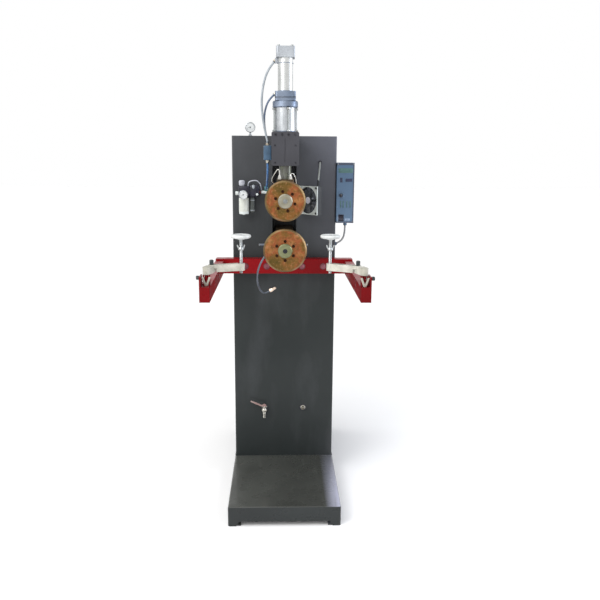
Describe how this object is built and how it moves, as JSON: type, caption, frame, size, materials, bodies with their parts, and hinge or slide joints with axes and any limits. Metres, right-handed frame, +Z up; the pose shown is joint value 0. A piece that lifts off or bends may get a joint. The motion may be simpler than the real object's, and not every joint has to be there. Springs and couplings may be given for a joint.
{
  "type": "seam welder",
  "caption": "Floor-standing pneumatic roll spot welder: column cabinet, two copper wheel electrodes, air cylinder press and swivelling work support.",
  "frame": {"origin": "on the floor at the centre of the four anchor bolt holes", "axes": "+X to the operator's right, +Y away from the operator into the cabinet, +Z up"},
  "size_m": [0.6268, 1.19, 1.854],
  "materials": {
    "base_platform": "dark grey textured enamel, scuffed on the tread",
    "cabinet_shell": "dark grey enamel with a faint blue sheen",
    "rear_cover": "dark grey enamel",
    "upper_arm": "dark grey enamel",
    "guide_housing": "dark grey enamel",
    "cylinder_lower_tube": "clear anodised tube",
    "cylinder_centre_block": "machined and anodised",
    "cylinder_upper_tube": "clear anodised tube",
    "cylinder_top_cap": "bead blasted",
    "tie_rods_and_bolts": "zinc plated",
    "piston_rod": "hard chromed",
    "ram": "ground and oiled",
    "upper_head": "copper alloy, oiled",
    "upper_shaft": "nickel plated, stained by cooling water",
    "upper_wheel": "copper alloy with heat colours",
    "upper_wheel_bolts": "dark socket screws",
    "current_shunt": "copper laminations",
    "lower_arm": "tarnished copper alloy",
    "lower_shaft": "nickel plated, stained by cooling water",
    "lower_wheel": "copper alloy with heat colours",
    "lower_wheel_bolts": "dark socket screws",
    "driven_gear": "hobbed steel, greased",
    "drive_pinion": "hobbed steel, greased",
    "gear_motor": "blue grey enamel",
    "transformer": "varnished laminations",
    "bus_bars": "copper bar",
    "cross_beam": "gloss red enamel",
    "side_arms": "gloss red enamel",
    "left_lower_link": "sand cast, cream grey",
    "right_lower_link": "sand cast, cream grey",
    "left_upper_link": "sand cast, cream grey",
    "right_upper_link": "sand cast, cream grey",
    "left_post": "zinc plated, white nylon faced disc",
    "right_post": "zinc plated, white nylon faced disc",
    "left_wing_nut": "zinc plated",
    "right_wing_nut": "zinc plated",
    "left_elbow_knob": "black bakelite",
    "right_elbow_knob": "black bakelite",
    "left_lock_knob": "black bakelite",
    "right_lock_knob": "black bakelite",
    "air_regulator": "black moulded body",
    "air_bowls": "milky polycarbonate",
    "air_gauge": "plated case, white dial",
    "regulator_knob": "silver grey",
    "solenoid_valve": "dark moulded body",
    "fan_frame": "die cast frame",
    "fan_impeller": "dark moulded",
    "control_box": "blue grey enamel",
    "control_knob": "black",
    "control_switch": "black rocker",
    "roof_gauge": "plated case, white dial",
    "water_valve": "nickel plated brass",
    "valve_lever": "red lacquered steel",
    "water_pipe": "stainless tube",
    "spray_pipe": "stainless tube",
    "spray_nozzle": "plated brass",
    "top_hose": "grey polyurethane",
    "side_hose": "dark grey polyurethane",
    "air_hose": "blue polyurethane",
    "control_cable": "grey sheathed cable"
  },
  "bodies": {
    "frame": {"base_platform": "base_platform", "cabinet_shell": "cabinet_shell", "rear_cover": "rear_cover", "upper_arm": "upper_arm", "guide_housing": "guide_housing", "cylinder_lower_tube": "cylinder_lower_tube", "cylinder_centre_block": "cylinder_centre_block", "cylinder_upper_tube": "cylinder_upper_tube", "cylinder_top_cap": "cylinder_top_cap", "tie_rods_and_bolts": "tie_rods_and_bolts", "current_shunt": "current_shunt", "lower_arm": "lower_arm", "gear_motor": "gear_motor", "transformer": "transformer", "bus_bars": "bus_bars", "cross_beam": "cross_beam", "side_arms": "side_arms", "air_regulator": "air_regulator", "air_bowls": "air_bowls", "air_gauge": "air_gauge", "solenoid_valve": "solenoid_valve", "fan_frame": "fan_frame", "control_box": "control_box", "roof_gauge": "roof_gauge", "water_valve": "water_valve", "water_pipe": "water_pipe", "spray_pipe": "spray_pipe", "spray_nozzle": "spray_nozzle", "top_hose": "top_hose", "side_hose": "side_hose", "air_hose": "air_hose", "control_cable": "control_cable"},
    "press": {"piston_rod": "piston_rod", "ram": "ram", "upper_head": "upper_head"},
    "upper_roll": {"upper_shaft": "upper_shaft", "upper_wheel": "upper_wheel", "upper_wheel_bolts": "upper_wheel_bolts"},
    "lower_roll": {"lower_shaft": "lower_shaft", "lower_wheel": "lower_wheel", "lower_wheel_bolts": "lower_wheel_bolts", "driven_gear": "driven_gear"},
    "motor_pinion": {"drive_pinion": "drive_pinion"},
    "left_lower_lever": {"left_lower_link": "left_lower_link"},
    "left_upper_lever": {"left_upper_link": "left_upper_link"},
    "left_support": {"left_post": "left_post"},
    "left_nut": {"left_wing_nut": "left_wing_nut"},
    "left_elbow": {"left_elbow_knob": "left_elbow_knob"},
    "left_lock": {"left_lock_knob": "left_lock_knob"},
    "right_lower_lever": {"right_lower_link": "right_lower_link"},
    "right_upper_lever": {"right_upper_link": "right_upper_link"},
    "right_support": {"right_post": "right_post"},
    "right_nut": {"right_wing_nut": "right_wing_nut"},
    "right_elbow": {"right_elbow_knob": "right_elbow_knob"},
    "right_lock": {"right_lock_knob": "right_lock_knob"},
    "regulator_handle": {"regulator_knob": "regulator_knob"},
    "water_handle": {"valve_lever": "valve_lever"},
    "fan_rotor": {"fan_impeller": "fan_impeller"},
    "weld_dial": {"control_knob": "control_knob"},
    "power_rocker": {"control_switch": "control_switch"}
  },
  "joints": [
    {"name": "press_slide", "type": "slide", "parent": "frame", "child": "press", "axis": [0, 0, -1], "range_m": [0, 0.0265], "deforming": ["current_shunt"]},
    {"name": "upper_wheel_spin", "type": "hinge", "parent": "press", "child": "upper_roll", "pos_m": [0, -0.452, 1.298], "axis": [0, 1, 0], "continuous": true},
    {"name": "lower_wheel_spin", "type": "hinge", "parent": "frame", "child": "lower_roll", "pos_m": [0, -0.452, 1.113], "axis": [0, 1, 0], "continuous": true},
    {"name": "motor_spin", "type": "hinge", "parent": "frame", "child": "motor_pinion", "pos_m": [0, 0.192, 1.013], "axis": [0, 1, 0], "continuous": true},
    {"name": "left_lower_swing", "type": "hinge", "parent": "frame", "child": "left_lower_lever", "pos_m": [-0.276, -0.646, 1.069], "axis": [0, 0, 1], "range_deg": [-45, 45]},
    {"name": "left_upper_swing", "type": "hinge", "parent": "left_lower_lever", "child": "left_upper_lever", "pos_m": [-0.26254, -0.59577, 1.069], "axis": [0, 0, 1], "range_deg": [-35, 60]},
    {"name": "left_post_height", "type": "slide", "parent": "left_upper_lever", "child": "left_support", "axis": [0, 0, 1], "range_m": [-0.03, 0.02]},
    {"name": "left_wing_turn", "type": "hinge", "parent": "left_support", "child": "left_nut", "pos_m": [-0.15948, -0.56029, 1.14], "axis": [0, 0, 1], "continuous": true},
    {"name": "left_elbow_turn", "type": "hinge", "parent": "left_upper_lever", "child": "left_elbow", "pos_m": [-0.26254, -0.59577, 1.09], "axis": [0, 0, 1], "range_deg": [-180, 180]},
    {"name": "left_lock_turn", "type": "hinge", "parent": "frame", "child": "left_lock", "pos_m": [-0.276, -0.646, 1.044], "axis": [1, 0, 0], "range_deg": [-180, 180]},
    {"name": "right_lower_swing", "type": "hinge", "parent": "frame", "child": "right_lower_lever", "pos_m": [0.276, -0.66, 1.069], "axis": [0, 0, 1], "range_deg": [-45, 45]},
    {"name": "right_upper_swing", "type": "hinge", "parent": "right_lower_lever", "child": "right_upper_lever", "pos_m": [0.25821, -0.61114, 1.069], "axis": [0, 0, 1], "range_deg": [-60, 35]},
    {"name": "right_post_height", "type": "slide", "parent": "right_upper_lever", "child": "right_support", "axis": [0, 0, 1], "range_m": [-0.03, 0.02]},
    {"name": "right_wing_turn", "type": "hinge", "parent": "right_support", "child": "right_nut", "pos_m": [0.16197, -0.55996, 1.14], "axis": [0, 0, 1], "continuous": true},
    {"name": "right_elbow_turn", "type": "hinge", "parent": "right_upper_lever", "child": "right_elbow", "pos_m": [0.25821, -0.61114, 1.09], "axis": [0, 0, 1], "range_deg": [-180, 180]},
    {"name": "right_lock_turn", "type": "hinge", "parent": "frame", "child": "right_lock", "pos_m": [0.276, -0.66, 1.044], "axis": [1, 0, 0], "range_deg": [-180, 180]},
    {"name": "regulator_turn", "type": "hinge", "parent": "frame", "child": "regulator_handle", "pos_m": [-0.181, -0.065, 1.345], "axis": [0, 0, 1], "range_deg": [-180, 180]},
    {"name": "water_lever_turn", "type": "hinge", "parent": "frame", "child": "water_handle", "pos_m": [-0.09, -0.05, 0.343], "axis": [0, 0, 1], "range_deg": [0, 90]},
    {"name": "fan_spin", "type": "hinge", "parent": "frame", "child": "fan_rotor", "pos_m": [0.097, -0.09, 1.279], "axis": [0.766, 0.6428, 0], "continuous": true},
    {"name": "weld_dial_turn", "type": "hinge", "parent": "frame", "child": "weld_dial", "pos_m": [0.245, -0.03, 1.297], "axis": [0, 1, 0], "range_deg": [-150, 150]},
    {"name": "power_rocker_tilt", "type": "hinge", "parent": "frame", "child": "power_rocker", "pos_m": [0.247, -0.0255, 1.2], "axis": [1, 0, 0], "range_deg": [-8, 8]}
  ],
  "couplings": [
    {"joint": "motor_spin", "follows": "lower_wheel_spin", "ratio": -3}
  ]
}
